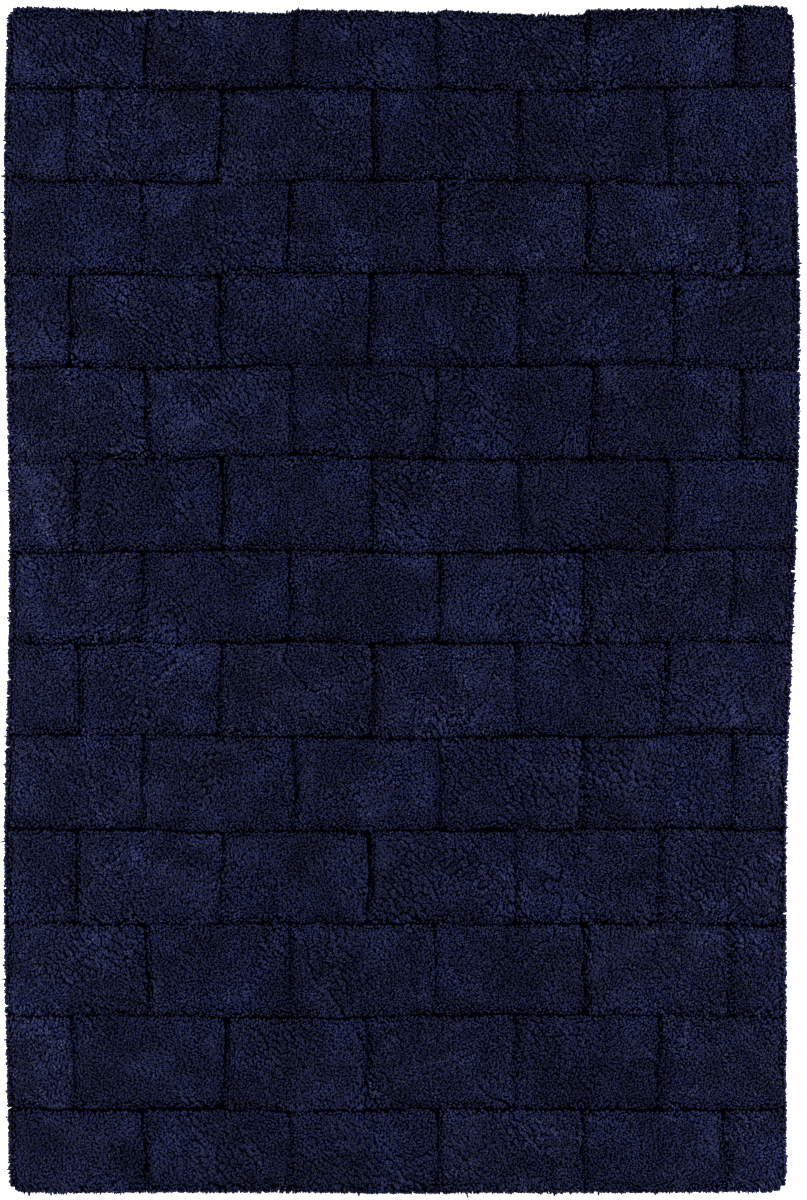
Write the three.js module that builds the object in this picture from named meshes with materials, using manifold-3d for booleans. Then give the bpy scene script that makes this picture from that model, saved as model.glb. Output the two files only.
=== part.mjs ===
// Tufted cotton bath mat with a brick pattern, millimetres, +Z up.
// The origin is on the floor under the middle of the mat. +Y is the long way.
//
// From the floor up: an anti-slip latex coat framed by four hems, the woven
// base cloth, and the cut pile. The pile stands in courses across the mat,
// and grooves divide each course into bricks.

import * as THREE from 'three';
import { mergeVertices } from 'three/addons/utils/BufferGeometryUtils.js';
import Module from 'manifold-3d';

// ---- driving dimensions ----

const MAT_WIDTH = 600;
const MAT_LENGTH = 900;
const CLOTH_THICKNESS = 1;
const COAT_THICKNESS = 1;
const PILE_HEIGHT = 16;

const PILE_OVERHANG = 3; // how far the pile spreads past the base cloth
const COURSES = 13;
const COURSE_PITCH = 70.6;
const FIRST_COURSE = 60; // the course at the back edge is cut short by the hem
const BRICK_PITCH = 112.5;
const FIRST_BRICK_ODD = 104.5; // courses 1, 3, 5 ... start with a long brick
const FIRST_BRICK_EVEN = 53; // courses 2, 4, 6 ... start with about half a brick
const GROOVE_WIDTH = 4;
const BRICK_CORNER = 5;
const BRICK_CROWN = 4;
const ROOT_HEIGHT = 3; // pile left standing under the grooves of one course
const ROOT_GAP = 0.5; // between the roots of neighbouring courses

const HEM_WIDTH = 15;
const HEM_GAP = 0.5; // between hems, and between a hem and the latex coat
const STITCH_INSET = 11; // from the mat's edge of the cloth to the stitch line
const STITCH_CHANNEL_WIDTH = 1;
const STITCH_CHANNEL_DEPTH = 0.5;
const THREAD_RADIUS = 0.2;
const THREAD_SIDES = 6;
const THREAD_END = 4; // bare hem past each end of the thread

const LABEL_WIDTH = 30;
const LABEL_LENGTH = 45;
const LABEL_THICKNESS = 0.25;
const LABEL_FLOOR_GAP = 0.125;
const LABEL_RECESS_DEPTH = 0.5;
const LABEL_RECESS_MARGIN = 0.5;
const LABEL_FROM_MIDDLE = 200; // along the left hem, towards the front

// ---- heights and plan sizes that follow from them ----

const CLOTH_WIDTH = MAT_WIDTH - 2 * PILE_OVERHANG;
const CLOTH_LENGTH = MAT_LENGTH - 2 * PILE_OVERHANG;
const CLOTH_BOTTOM = COAT_THICKNESS;
const PILE_BOTTOM = CLOTH_BOTTOM + CLOTH_THICKNESS;
const SIDE_HEM_LENGTH = CLOTH_LENGTH - 2 * (HEM_WIDTH + HEM_GAP);
const COAT_WIDTH = CLOTH_WIDTH - 2 * (HEM_WIDTH + HEM_GAP);
const COAT_LENGTH = SIDE_HEM_LENGTH;

// ---- materials ----

const pileYarn = new THREE.MeshStandardMaterial({ color: 0x1b2148, roughness: 0.95, metalness: 0 });
const baseCloth = new THREE.MeshStandardMaterial({ color: 0x23284c, roughness: 0.9, metalness: 0 });
const latex = new THREE.MeshStandardMaterial({ color: 0xb9b6ac, roughness: 0.7, metalness: 0 });
const sewingThread = new THREE.MeshStandardMaterial({ color: 0x1d2347, roughness: 0.6, metalness: 0 });
const labelSatin = new THREE.MeshStandardMaterial({ color: 0xe9e7e1, roughness: 0.45, metalness: 0 });

const mat = new THREE.Group();

function addPart(name, geometry, material) {
  const mesh = new THREE.Mesh(geometry, material);
  mesh.name = name;
  mat.add(mesh);
  return mesh;
}

// ---- solids that are cut or joined ----

const wasm = await Module();
wasm.setup();

function toSolid(geometry) {
  const bare = geometry.clone();
  bare.deleteAttribute('normal');
  bare.deleteAttribute('uv');
  const merged = mergeVertices(bare, 1e-4);
  return new wasm.Manifold(new wasm.Mesh({
    numProp: 3,
    vertProperties: new Float32Array(merged.attributes.position.array),
    triVerts: new Uint32Array(merged.index.array),
  }));
}

function toGeometry(solid) {
  const mesh = solid.getMesh();
  const geometry = new THREE.BufferGeometry();
  geometry.setAttribute('position', new THREE.BufferAttribute(mesh.vertProperties, 3));
  geometry.setIndex(new THREE.BufferAttribute(mesh.triVerts, 1));
  geometry.computeVertexNormals();
  return geometry;
}

// A box from its lowest corner to its highest corner.
function boxBetween(low, high) {
  const size = new THREE.Vector3().subVectors(high, low);
  const middle = new THREE.Vector3().addVectors(low, high).multiplyScalar(0.5);
  return new THREE.BoxGeometry(size.x, size.y, size.z).translate(middle.x, middle.y, middle.z);
}

// ---- base cloth ----

function makeBaseCloth() {
  const low = new THREE.Vector3(-CLOTH_WIDTH / 2, -CLOTH_LENGTH / 2, CLOTH_BOTTOM);
  const high = new THREE.Vector3(CLOTH_WIDTH / 2, CLOTH_LENGTH / 2, PILE_BOTTOM);
  addPart('base_cloth', boxBetween(low, high), baseCloth);
}

// ---- latex coat, with a shallow recess where the label lies against it ----

const labelLeft = -COAT_WIDTH / 2 + LABEL_RECESS_MARGIN;
const labelFront = -LABEL_FROM_MIDDLE - LABEL_LENGTH / 2;

function makeLatexCoat() {
  const coat = boxBetween(
    new THREE.Vector3(-COAT_WIDTH / 2, -COAT_LENGTH / 2, 0),
    new THREE.Vector3(COAT_WIDTH / 2, COAT_LENGTH / 2, COAT_THICKNESS),
  );
  // the recess is open at the floor and towards the left hem
  const recess = boxBetween(
    new THREE.Vector3(-COAT_WIDTH / 2 - 1, labelFront - LABEL_RECESS_MARGIN, -1),
    new THREE.Vector3(
      labelLeft + LABEL_WIDTH + LABEL_RECESS_MARGIN,
      labelFront + LABEL_LENGTH + LABEL_RECESS_MARGIN,
      LABEL_RECESS_DEPTH,
    ),
  );
  addPart('latex_coat', toGeometry(toSolid(coat).subtract(toSolid(recess))), latex);
}

function makeCareLabel() {
  const low = new THREE.Vector3(labelLeft, labelFront, LABEL_FLOOR_GAP);
  const size = new THREE.Vector3(LABEL_WIDTH, LABEL_LENGTH, LABEL_THICKNESS);
  addPart('care_label', boxBetween(low, new THREE.Vector3().addVectors(low, size)), labelSatin);
}

// ---- hems: strips with a channel on the floor side for the stitch line ----

// The section is drawn from the outer edge, x = 0, to the inner edge, x = HEM_WIDTH.
function hemSection() {
  const channelStart = STITCH_INSET - STITCH_CHANNEL_WIDTH / 2;
  const channelEnd = STITCH_INSET + STITCH_CHANNEL_WIDTH / 2;
  return new THREE.Shape([
    new THREE.Vector2(0, 0),
    new THREE.Vector2(channelStart, 0),
    new THREE.Vector2(channelStart, STITCH_CHANNEL_DEPTH),
    new THREE.Vector2(channelEnd, STITCH_CHANNEL_DEPTH),
    new THREE.Vector2(channelEnd, 0),
    new THREE.Vector2(HEM_WIDTH, 0),
    new THREE.Vector2(HEM_WIDTH, COAT_THICKNESS),
    new THREE.Vector2(0, COAT_THICKNESS),
  ]);
}

function threadSection() {
  const middle = new THREE.Vector2(STITCH_INSET, STITCH_CHANNEL_DEPTH / 2);
  const points = [];
  for (let i = 0; i < THREAD_SIDES; i += 1) {
    const angle = (2 * Math.PI * i) / THREAD_SIDES;
    points.push(new THREE.Vector2(
      middle.x + THREAD_RADIUS * Math.cos(angle),
      middle.y + THREAD_RADIUS * Math.sin(angle),
    ));
  }
  return new THREE.Shape(points);
}

// A section extruded along one side, upright and centred on that side. Turning it about
// +Z by a whole number of quarter turns brings it to any of the four sides.
function alongSide(section, length) {
  return new THREE.ExtrudeGeometry(section, { depth: length, steps: 1, bevelEnabled: false })
    .translate(0, 0, -length / 2)
    .rotateX(Math.PI / 2);
}

function makeHems() {
  const sides = [
    { name: 'left', turns: 0, reach: CLOTH_WIDTH / 2, length: SIDE_HEM_LENGTH },
    { name: 'front', turns: 1, reach: CLOTH_LENGTH / 2, length: CLOTH_WIDTH },
    { name: 'right', turns: 2, reach: CLOTH_WIDTH / 2, length: SIDE_HEM_LENGTH },
    { name: 'back', turns: 3, reach: CLOTH_LENGTH / 2, length: CLOTH_WIDTH },
  ];
  for (const side of sides) {
    const angle = (side.turns * Math.PI) / 2;
    const hem = alongSide(hemSection(), side.length);
    hem.translate(-side.reach, 0, 0).rotateZ(angle);
    addPart(`hem_${side.name}`, hem, baseCloth);
    const thread = alongSide(threadSection(), side.length - 2 * THREAD_END);
    thread.translate(-side.reach, 0, 0).rotateZ(angle);
    addPart(`hem_stitch_${side.name}`, thread, sewingThread);
  }
}

// ---- pile ----

// Where the bricks of one course begin and end across the mat, left edge to right edge.
function brickEdges(courseNumber) {
  const first = courseNumber % 2 === 1 ? FIRST_BRICK_ODD : FIRST_BRICK_EVEN;
  const edges = [0];
  for (let x = first; x < MAT_WIDTH; x += BRICK_PITCH) {
    edges.push(x);
  }
  edges.push(MAT_WIDTH);
  return edges.map((x) => x - MAT_WIDTH / 2);
}

// A block of pile with cut corners and a crowned top. It reaches below its own base by
// the height of the crown, and is trimmed there with the rest of the course.
function brickBlock(left, right, front, back) {
  const c = BRICK_CORNER;
  const outline = new THREE.Shape([
    new THREE.Vector2(left + c, front),
    new THREE.Vector2(right - c, front),
    new THREE.Vector2(right, front + c),
    new THREE.Vector2(right, back - c),
    new THREE.Vector2(right - c, back),
    new THREE.Vector2(left + c, back),
    new THREE.Vector2(left, back - c),
    new THREE.Vector2(left, front + c),
  ]);
  return new THREE.ExtrudeGeometry(outline, {
    depth: PILE_HEIGHT - BRICK_CROWN,
    steps: 1,
    bevelEnabled: true,
    bevelThickness: BRICK_CROWN,
    bevelSize: BRICK_CROWN,
    bevelOffset: -BRICK_CROWN,
    bevelSegments: 1,
  }).translate(0, 0, PILE_BOTTOM);
}

// One course: its bricks, joined by the short roots under the grooves between them.
function makePileCourse(courseNumber) {
  const isFirst = courseNumber === 1;
  const isLast = courseNumber === COURSES;
  const half = MAT_LENGTH / 2;
  const back = isFirst ? half : half - FIRST_COURSE - (courseNumber - 2) * COURSE_PITCH;
  const front = isLast ? -half : half - FIRST_COURSE - (courseNumber - 1) * COURSE_PITCH;

  const rootBack = isFirst ? back - PILE_OVERHANG : back - ROOT_GAP / 2;
  const rootFront = isLast ? front + PILE_OVERHANG : front + ROOT_GAP / 2;
  let course = toSolid(boxBetween(
    new THREE.Vector3(-CLOTH_WIDTH / 2, rootFront, PILE_BOTTOM),
    new THREE.Vector3(CLOTH_WIDTH / 2, rootBack, PILE_BOTTOM + ROOT_HEIGHT),
  ));

  const brickBack = isFirst ? back : back - GROOVE_WIDTH / 2;
  const brickFront = isLast ? front : front + GROOVE_WIDTH / 2;
  const edges = brickEdges(courseNumber);
  for (let i = 0; i < edges.length - 1; i += 1) {
    const left = i === 0 ? edges[i] : edges[i] + GROOVE_WIDTH / 2;
    const right = i === edges.length - 2 ? edges[i + 1] : edges[i + 1] - GROOVE_WIDTH / 2;
    course = course.add(toSolid(brickBlock(left, right, brickFront, brickBack)));
  }

  const below = boxBetween(
    new THREE.Vector3(-MAT_WIDTH, front - GROOVE_WIDTH, PILE_BOTTOM - 2 * BRICK_CROWN),
    new THREE.Vector3(MAT_WIDTH, back + GROOVE_WIDTH, PILE_BOTTOM),
  );
  course = course.subtract(toSolid(below));
  addPart(`pile_course_${String(courseNumber).padStart(2, '0')}`, toGeometry(course), pileYarn);
}

makeLatexCoat();
makeCareLabel();
makeHems();
makeBaseCloth();
for (let courseNumber = 1; courseNumber <= COURSES; courseNumber += 1) {
  makePileCourse(courseNumber);
}

export default mat;
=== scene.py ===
"""A tufted cotton bath mat: cut pile grooved into bricks, on a hemmed cloth with a latex back.

Plan and heights are worked out in millimetres, and turned into metres when a mesh is made.
Everything is drawn on the mat's nominal rectangle first, and settled() then shifts it
sideways by a few millimetres, because a soft mat never lies quite square.
"""

import math

import bpy
import numpy as np
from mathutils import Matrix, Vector


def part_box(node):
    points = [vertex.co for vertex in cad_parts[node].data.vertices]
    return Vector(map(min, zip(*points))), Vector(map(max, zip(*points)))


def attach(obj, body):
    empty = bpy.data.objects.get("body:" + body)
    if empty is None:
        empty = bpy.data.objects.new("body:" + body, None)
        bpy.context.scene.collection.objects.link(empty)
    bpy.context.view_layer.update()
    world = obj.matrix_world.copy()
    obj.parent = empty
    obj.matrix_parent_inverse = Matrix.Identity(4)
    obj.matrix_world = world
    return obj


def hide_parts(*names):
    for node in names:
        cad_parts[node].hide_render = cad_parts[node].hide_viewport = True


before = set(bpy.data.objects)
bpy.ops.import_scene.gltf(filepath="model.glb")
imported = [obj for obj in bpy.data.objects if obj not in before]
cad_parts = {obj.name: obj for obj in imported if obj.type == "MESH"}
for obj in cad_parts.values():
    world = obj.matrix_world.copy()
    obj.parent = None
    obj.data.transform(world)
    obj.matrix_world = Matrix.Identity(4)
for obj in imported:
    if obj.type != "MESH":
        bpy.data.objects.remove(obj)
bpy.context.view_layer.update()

MM = 0.001

# -------- sizes from the frame


def box_mm(node):
    low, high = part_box(node)
    return np.array(low) / MM, np.array(high) / MM


COURSES = 13
NODES = [f"pile_course_{k:02d}" for k in range(1, COURSES + 1)]
BOXES = [box_mm(node) for node in NODES]
CLOTH_LOW, CLOTH_HIGH = box_mm("base_cloth")
COAT_LOW, COAT_HIGH = box_mm("latex_coat")
LABEL_LOW, LABEL_HIGH = box_mm("care_label")

HALF_WIDTH = BOXES[0][1][0]
HALF_LENGTH = BOXES[0][1][1]
PILE_BOTTOM = CLOTH_HIGH[2]
PILE_TOP = BOXES[0][1][2]

# the lines between courses, from the back edge to the front edge
LINES = (
    [HALF_LENGTH]
    + [(BOXES[k][0][1] + BOXES[k + 1][1][1]) / 2 for k in range(COURSES - 1)]
    + [-HALF_LENGTH]
)

BRICK_PITCH = 112.5
FIRST_BRICK_ODD = 104.5
FIRST_BRICK_EVEN = 53.0
BRICKS = 8  # no course has more

# -------- smooth noise

NOISE_CELLS = 128


def smooth(t):
    t = np.clip(t, 0.0, 1.0)
    return t * t * (3.0 - 2.0 * t)


def noise(x, y, size, seed):
    """Smooth noise from -1 to 1, in blobs about size millimetres across."""
    table = np.random.default_rng(seed).uniform(-1.0, 1.0, (NOISE_CELLS, NOISE_CELLS))
    turn = 0.7 * seed
    u = (math.cos(turn) * x - math.sin(turn) * y) / size
    v = (math.sin(turn) * x + math.cos(turn) * y) / size
    i, j = np.floor(u).astype(int), np.floor(v).astype(int)
    f, g = smooth(u - i), smooth(v - j)

    def corner(di, dj):
        return table[(i + di) % NOISE_CELLS, (j + dj) % NOISE_CELLS]

    near = corner(0, 0) * (1 - f) + corner(1, 0) * f
    far = corner(0, 1) * (1 - f) + corner(1, 1) * f
    return near * (1 - g) + far * g


def wander(x, y, layers):
    """Several noises added up, each given by its reach, its blob size and its seed."""
    return sum(reach * noise(x, y, size, seed) for reach, size, seed in layers)


SEEDS = {"gaps": 300, "grooves": 500, "lean": 700, "tone": 900, "yarn": 1000}


def dice(purpose, course):
    """Random numbers for one purpose in one course, the same every time."""
    return np.random.default_rng(SEEDS[purpose] + course)


# -------- outline and grooves

BULGE = 6.5  # of the right edge, at BULGE_AT
BULGE_AT = 200.0
BULGE_SPREAD = 200.0
NARROWING = 4.0  # of the right edge, in front of NARROWING_FROM
NARROWING_FROM = 30.0
NARROWING_RUN = 200.0
LEFT_REACH = 2.0  # of the left edge's wave, which is furthest right at LEFT_WAVE_AT
LEFT_WAVE_AT = 35.0
LEFT_WAVE = 83.0  # an arch of that wave, divided by pi
BACK_DIP = 4.5  # of the back edge, at BACK_DIP_AT
BACK_DIP_AT = 120.0
BACK_SAG = 3.0  # of the back edge, at BACK_SAG_AT, and felt BACK_SAG_RUN deep
BACK_SAG_AT = -110.0
BACK_SAG_RUN = 70.0
BACK_SPREAD = 110.0
BACK_STRETCH = 2.2
FRONT_STRETCH = 5.0
FRONT_WANDER = [(0.8, 120.0, 12)]
CORNER_PULL = 1.2  # of the mat's corners, which are drawn in by their hems
CORNER_RUN = 15.0


def settled(points):
    """The points moved in plan as the mat lies: its edges shift most, its middle stays."""
    x, y = points[:, 0], points[:, 1]
    right = BULGE * np.exp(-(((y - BULGE_AT) / BULGE_SPREAD) ** 2))
    right = right - NARROWING * smooth((NARROWING_FROM - y) / NARROWING_RUN)
    left = LEFT_REACH * np.cos((y - LEFT_WAVE_AT) / LEFT_WAVE)
    shift_x = np.where(x > 0, right, left) * np.abs(x) / HALF_WIDTH
    back = BACK_STRETCH - BACK_DIP * np.exp(-(((x - BACK_DIP_AT) / BACK_SPREAD) ** 2))
    sag = BACK_SAG * np.exp(-(((x - BACK_SAG_AT) / BACK_SPREAD) ** 2))
    sag = sag * smooth((y - HALF_LENGTH) / BACK_SAG_RUN + 1.0)
    front = -FRONT_STRETCH + wander(x, 0.0 * x, FRONT_WANDER)
    share = np.abs(y / HALF_LENGTH)
    shift_y = np.where(y > 0, back * share ** 3 - sag, front * share ** 1.5)
    from_corner = np.hypot(HALF_WIDTH - np.abs(x), HALF_LENGTH - np.abs(y))
    pull = CORNER_PULL * smooth(1.0 - from_corner / CORNER_RUN)
    shift_x, shift_y = shift_x - pull * np.sign(x), shift_y - pull * np.sign(y)
    return np.column_stack([x + shift_x, y + shift_y, points[:, 2]])


END_WANDER = [(0.9, 60.0, 3), (0.5, 14.0, 4)]  # of the pile's back and front edges
LINE_WANDER = [(1.6, 90.0, 5), (0.7, 20.0, 6)]  # of the lines between courses
SIDE_WANDER = [(0.9, 50.0, 7), (0.5, 13.0, 8)]  # of the pile's left and right edges
GROOVE_WANDER = [(1.6, 33.0, 9)]  # of the grooves inside a course
GROOVE_SHIFT = 2.5  # of such a groove as a whole, at most
GROOVE_CLEAR = (0.5, 1.6)  # half the bare strip along such a groove
SIDE_DIP = 1.0  # of the side edges, where a line between courses ends
SIDE_DIP_SPREAD = 3.5
APART = 47.0  # keeps one line's wander away from the next one's
SIDES_APART = 90.0
GROOVES_APART = 300.0
COURSES_APART = 37.0


def course_line(k, x):
    """Where the line between courses k and k + 1 lies at x. 0 and 13 are the mat's ends."""
    at_end = k in (0, COURSES)
    return LINES[k] + wander(x, APART * k, END_WANDER if at_end else LINE_WANDER)


def side_line(side, y):
    """The pile's left (-1) or right (1) edge at y. It dips in where a groove meets it."""
    dip = np.zeros_like(y)
    for line in LINES[1:-1]:
        dip = np.maximum(dip, np.exp(-(((y - line) / SIDE_DIP_SPREAD) ** 2)))
    return side * (HALF_WIDTH - SIDE_DIP * dip) + wander(y, SIDES_APART * side, SIDE_WANDER)


def groove_places(course):
    """The nominal places across the mat of the grooves inside one course."""
    first = FIRST_BRICK_ODD if course % 2 == 1 else FIRST_BRICK_EVEN
    return np.arange(first, 2 * HALF_WIDTH, BRICK_PITCH) - HALF_WIDTH


def brick_walls(course, y):
    """At each y, the left edge of a course, its grooves and its right edge, as places in x.

    Returns with them how far from each one the nearest roots are.
    """
    places, rng = groove_places(course), dice("grooves", course)
    places = places + rng.uniform(-GROOVE_SHIFT, GROOVE_SHIFT, len(places))
    clears = rng.uniform(*GROOVE_CLEAR, len(places))
    apart = GROOVES_APART * np.arange(len(places)) + COURSES_APART * course
    walls = [place + wander(y, a, GROOVE_WANDER) for place, a in zip(places, apart)]
    walls = np.array([side_line(-1, y), *walls, side_line(1, y)])
    return walls, np.array([OUTER_CLEAR, *clears, OUTER_CLEAR])


# how far out the pile leans along the back edge, at the left and right end of each brick
BACK_LEANS = ((0.2, -2.2), (0.0, -2.3), (0.5, -1.9), (0.0, -2.2), (2.5, -0.2), (2.0, 0.4))
LEAN_STEP = 4.0  # along the edge, from one brick's lean to the next one's


def back_lean(x):
    """How far out the first course's pile leans at x, along the mat's back edge."""
    ends = [place + side * LEAN_STEP / 2 for place in groove_places(1) for side in (-1, 1)]
    return np.interp(x, [-HALF_WIDTH] + ends + [HALF_WIDTH], np.ravel(BACK_LEANS))


OUTER_CLEAR = 2.6  # from the pile's edge to its outermost roots
COURSE_CLEAR = 1.5  # half the bare strip along the line between two courses
BRICK_GAPS = (-0.5, 0.8)  # added to that, for each brick's back and front
BRICK_TURN = 0.013  # how far a brick is turned in plan, at most, in radians
EDGE_RUN = 15.0  # how far in from a brick's edge the edge is felt
EDGE_FADE = 6.0
CORNER_ROUND = 4.5


def in_brick(course, x, y):
    """How far each point is inside its brick's outermost roots, which round its corners.

    Returns with that the way out of the brick as x and y, and the brick's index.
    """
    walls, clears = brick_walls(course, y)
    brick = (x[None, :] > walls[1:-1]).sum(axis=0)
    each = np.arange(len(x))
    to_left = x - walls[brick, each] - clears[brick]
    to_right = walls[brick + 1, each] - x - clears[brick + 1]
    back_clear = OUTER_CLEAR if course == 1 else COURSE_CLEAR
    front_clear = OUTER_CLEAR if course == COURSES else COURSE_CLEAR
    rng = dice("gaps", course)
    gaps = rng.uniform(*BRICK_GAPS, (2, BRICKS))[:, brick]
    turn = rng.uniform(-BRICK_TURN, BRICK_TURN, BRICKS)[brick]
    turned = turn * (x - (walls[brick, each] + walls[brick + 1, each]) / 2)
    to_back = course_line(course - 1, x) - y - back_clear - gaps[0] + turned
    to_front = y - course_line(course, x) - front_clear - gaps[1] - turned
    dx, dy = np.minimum(to_left, to_right), np.minimum(to_back, to_front)
    ax, ay = np.maximum(CORNER_ROUND - dx, 0.0), np.maximum(CORNER_ROUND - dy, 0.0)
    in_corner = (ax > 0) & (ay > 0)
    inside = np.where(in_corner, CORNER_ROUND - np.hypot(ax, ay), np.minimum(dx, dy))
    ax, ay = np.maximum(EDGE_RUN - dx, 0.0), np.maximum(EDGE_RUN - dy, 0.0)
    far = np.hypot(ax, ay)
    weight = smooth(far / EDGE_FADE) / np.maximum(far, 1e-6)
    out_x = np.where(to_left < to_right, -1.0, 1.0) * ax * weight
    out_y = np.where(to_back < to_front, 1.0, -1.0) * ay * weight
    return inside, out_x, out_y, brick


# -------- how the pile stands

NAP_FROM = (0.6, 0.8)  # the way back along the nap, which lies towards the front left
CROWN = 4.0  # how much lower a brick's edge is than its middle
CROWN_RUN = 11.0  # how far in from the edge the middle's height is reached
NAP_ON_CROWN = 0.75  # how much lower a crown the back and right edges have
NAP_ON_RUN = 0.35
TOP_DROP = 0.6  # of the pile's mean height below the CAD's
TOP_WANDER = [(0.5, 38.0, 21), (0.35, 11.0, 22)]
TUFT_SHOWN = 4.0  # how much of each yarn end stands above the dense pile below
GROOVE_FLOOR = PILE_BOTTOM + 1.5
GROOVE_BANK = 5.0  # width of the dense pile's slope from the groove's floor
GROOVE_HALF = 0.8  # how far outside the roots that slope starts


def against_nap(out_x, out_y):
    """From 1 at a brick's back and right edges to -1 at its front and left ones."""
    return NAP_FROM[0] * out_x + NAP_FROM[1] * out_y


def pile_height(inside, out_x, out_y, x, y):
    """The nap lies towards the front left, so a brick slopes more gently there."""
    against = against_nap(out_x, out_y)
    run = CROWN_RUN * (1.0 - NAP_ON_RUN * against)
    crown = CROWN * (1.0 - NAP_ON_CROWN * np.maximum(against, 0.0))
    crown = crown * (1.0 - np.clip(inside / run, 0.0, 1.0)) ** 2
    return PILE_TOP - TOP_DROP - crown + wander(x, y, TOP_WANDER)


def dense_height(inside, out_x, out_y, x, y):
    """The top of the dense lower pile, which falls away into the grooves."""
    full = pile_height(inside, out_x, out_y, x, y) - TUFT_SHOWN
    return GROOVE_FLOOR + (full - GROOVE_FLOOR) * smooth((inside + GROOVE_HALF) / GROOVE_BANK)


NAP = -0.8  # of the whole mat, towards its front edge
BRICK_LEAN = 1.0
LEAN_WANDER_X = [(2.2, 40.0, 31), (2.0, 15.0, 32)]
LEAN_WANDER_Y = [(2.2, 40.0, 33), (2.0, 15.0, 34)]
PARTING_LINES = [(1.0, 62.0, 35), (0.25, 13.0, 37)]  # the pile parts where their sum is zero
PARTING_SHOWN = [(2.0, 80.0, 36)]  # and where this is above zero
PARTING_LEAN = 1.5
PARTING_WIDTH = 0.12  # in the units of that sum
PARTING_STEP = 1.0


def lean(course, brick, x, y):
    """How far the tips lean over: a nap over the whole mat, patches, and a few partings."""
    rng = dice("lean", course)
    own = rng.uniform(-BRICK_LEAN, BRICK_LEAN, (BRICKS, 2))[brick]
    lean_x = own[:, 0] + wander(x, y, LEAN_WANDER_X)
    lean_y = own[:, 1] + wander(x, y, LEAN_WANDER_Y) + NAP
    level = wander(x, y, PARTING_LINES)
    slope_x = wander(x + PARTING_STEP, y, PARTING_LINES) - level
    slope_y = wander(x, y + PARTING_STEP, PARTING_LINES) - level
    steep = np.maximum(np.hypot(slope_x, slope_y), 1e-6)
    strength = np.exp(-((level / PARTING_WIDTH) ** 2)) * smooth(wander(x, y, PARTING_SHOWN))
    away = PARTING_LEAN * np.sign(level) * strength / steep
    return lean_x + away * slope_x, lean_y + away * slope_y


CLUMP_LONG = 6.5
CLUMP_WIDE = 3.9
CLUMP_SCATTER = 0.6
CLUMP_PULL_ALONG = 0.4  # of the pull along a clump, to that across it
CLUMP_KINDS = [(-0.75, 51), (0.6, 52)]  # the turn of its long way in radians, and its seed


def clumps(x, y, turn, seed):
    """The nearest long clump of yarn ends: the way to its middle, and a number of its own."""
    table = np.random.default_rng(seed).uniform(-1.0, 1.0, (3, NOISE_CELLS, NOISE_CELLS))
    cosine, sine = math.cos(turn), math.sin(turn)
    u = (cosine * x + sine * y) / CLUMP_LONG
    v = (cosine * y - sine * x) / CLUMP_WIDE
    i, j = np.floor(u).astype(int), np.floor(v).astype(int)
    nearest = np.full(len(x), np.inf)
    to_u, to_v, own = np.zeros(len(x)), np.zeros(len(x)), np.zeros(len(x))
    for di in (-1, 0, 1):
        for dj in (-1, 0, 1):
            a, b = (i + di) % NOISE_CELLS, (j + dj) % NOISE_CELLS
            du = i + di + 0.5 + CLUMP_SCATTER * table[0, a, b] - u
            dv = j + dj + 0.5 + CLUMP_SCATTER * table[1, a, b] - v
            far = np.hypot(du, dv)
            closer = far < nearest
            nearest = np.where(closer, far, nearest)
            to_u, to_v = np.where(closer, du, to_u), np.where(closer, dv, to_v)
            own = np.where(closer, 0.5 + 0.5 * table[2, a, b], own)
    to_u, to_v = CLUMP_PULL_ALONG * to_u * CLUMP_LONG, to_v * CLUMP_WIDE
    return cosine * to_u - sine * to_v, sine * to_u + cosine * to_v, own


# -------- mesh parts


def part(points, sizes, loops, uv, **values):
    """Points, the faces' sizes and corners, the corners' places in the map, and point values."""
    return {"points": points, "sizes": sizes, "loops": loops, "uv": uv, "values": values}


def joined(parts):
    """Several mesh parts as one."""
    starts = np.cumsum([0] + [len(p["points"]) for p in parts[:-1]])
    names = parts[0]["values"]
    return part(
        np.concatenate([p["points"] for p in parts]),
        np.concatenate([p["sizes"] for p in parts]),
        np.concatenate([p["loops"] + start for p, start in zip(parts, starts)]),
        np.concatenate([p["uv"] for p in parts]),
        **{n: np.concatenate([p["values"][n] for p in parts]) for n in names},
    )


def make_piece(name, shape, material, nodes):
    """One Blender object from one part, riding on the mat and standing for CAD nodes."""
    mesh = bpy.data.meshes.new(name)
    mesh.vertices.add(len(shape["points"]))
    mesh.vertices.foreach_set("co", (settled(shape["points"]) * MM).astype(np.float32).ravel())
    mesh.loops.add(len(shape["loops"]))
    mesh.loops.foreach_set("vertex_index", shape["loops"].astype(np.int32))
    mesh.polygons.add(len(shape["sizes"]))
    starts = np.concatenate([[0], np.cumsum(shape["sizes"])[:-1]])
    mesh.polygons.foreach_set("loop_start", starts.astype(np.int32))
    mesh.polygons.foreach_set("use_smooth", np.full(len(starts), True))
    for value_name, values in shape["values"].items():
        layer = mesh.attributes.new(value_name, "FLOAT", "POINT")
        layer.data.foreach_set("value", values.astype(np.float32))
    layer = mesh.uv_layers.new(name="OFBake")
    layer.data.foreach_set("uv", shape["uv"].astype(np.float32).ravel())
    mesh.update(calc_edges=True)
    mesh.materials.append(material)
    piece = bpy.data.objects.new(name, mesh)
    bpy.context.scene.collection.objects.link(piece)
    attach(piece, "root")
    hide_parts(*nodes)
    return piece


MAP_GAP = 0.01  # between the parts of a piece in its map


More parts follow.
